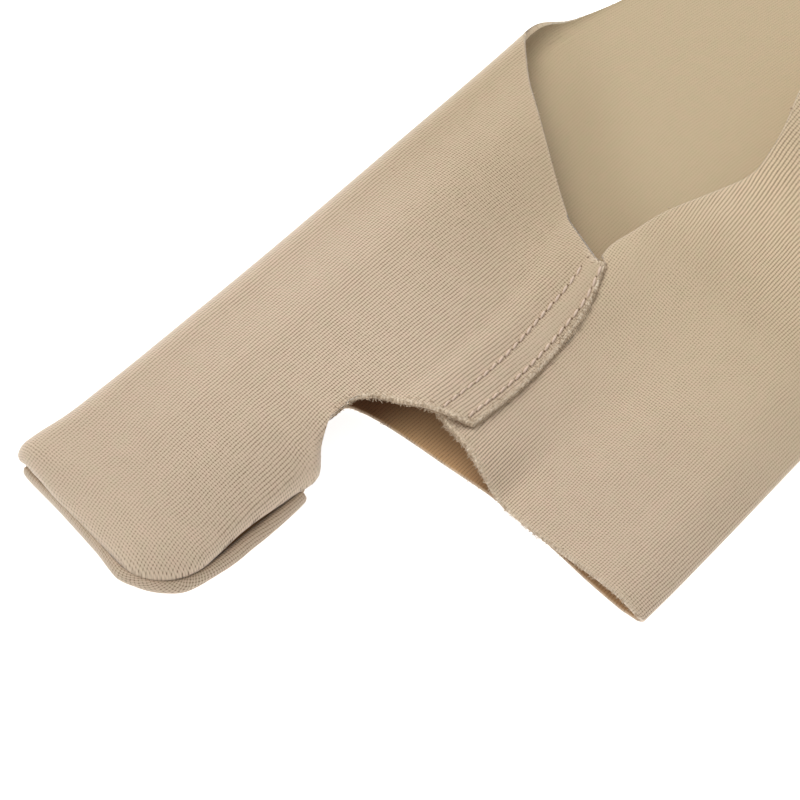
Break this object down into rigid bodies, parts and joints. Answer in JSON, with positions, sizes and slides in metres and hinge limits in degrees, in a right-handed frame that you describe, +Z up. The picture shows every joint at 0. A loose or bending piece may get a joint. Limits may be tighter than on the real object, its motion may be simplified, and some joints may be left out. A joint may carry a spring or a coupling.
{
  "type": "bunion corrector",
  "caption": "Soft knit bunion corrector sleeve for a left foot, lying flat: a forefoot tube with a closed big-toe sheath, lapped and sewn on the instep.",
  "frame": {"origin": "middle of the sleeve's box, on the surface it lies on", "axes": "+X from the toe's tip to the open rear end, +Y towards the big-toe side, +Z up from the sole layer"},
  "size_m": [0.1946, 0.1064, 0.0201],
  "materials": {
    "knit": "matte"
  },
  "bodies": {
    "root": {"sleeve": "knit"}
  },
  "joints": []
}
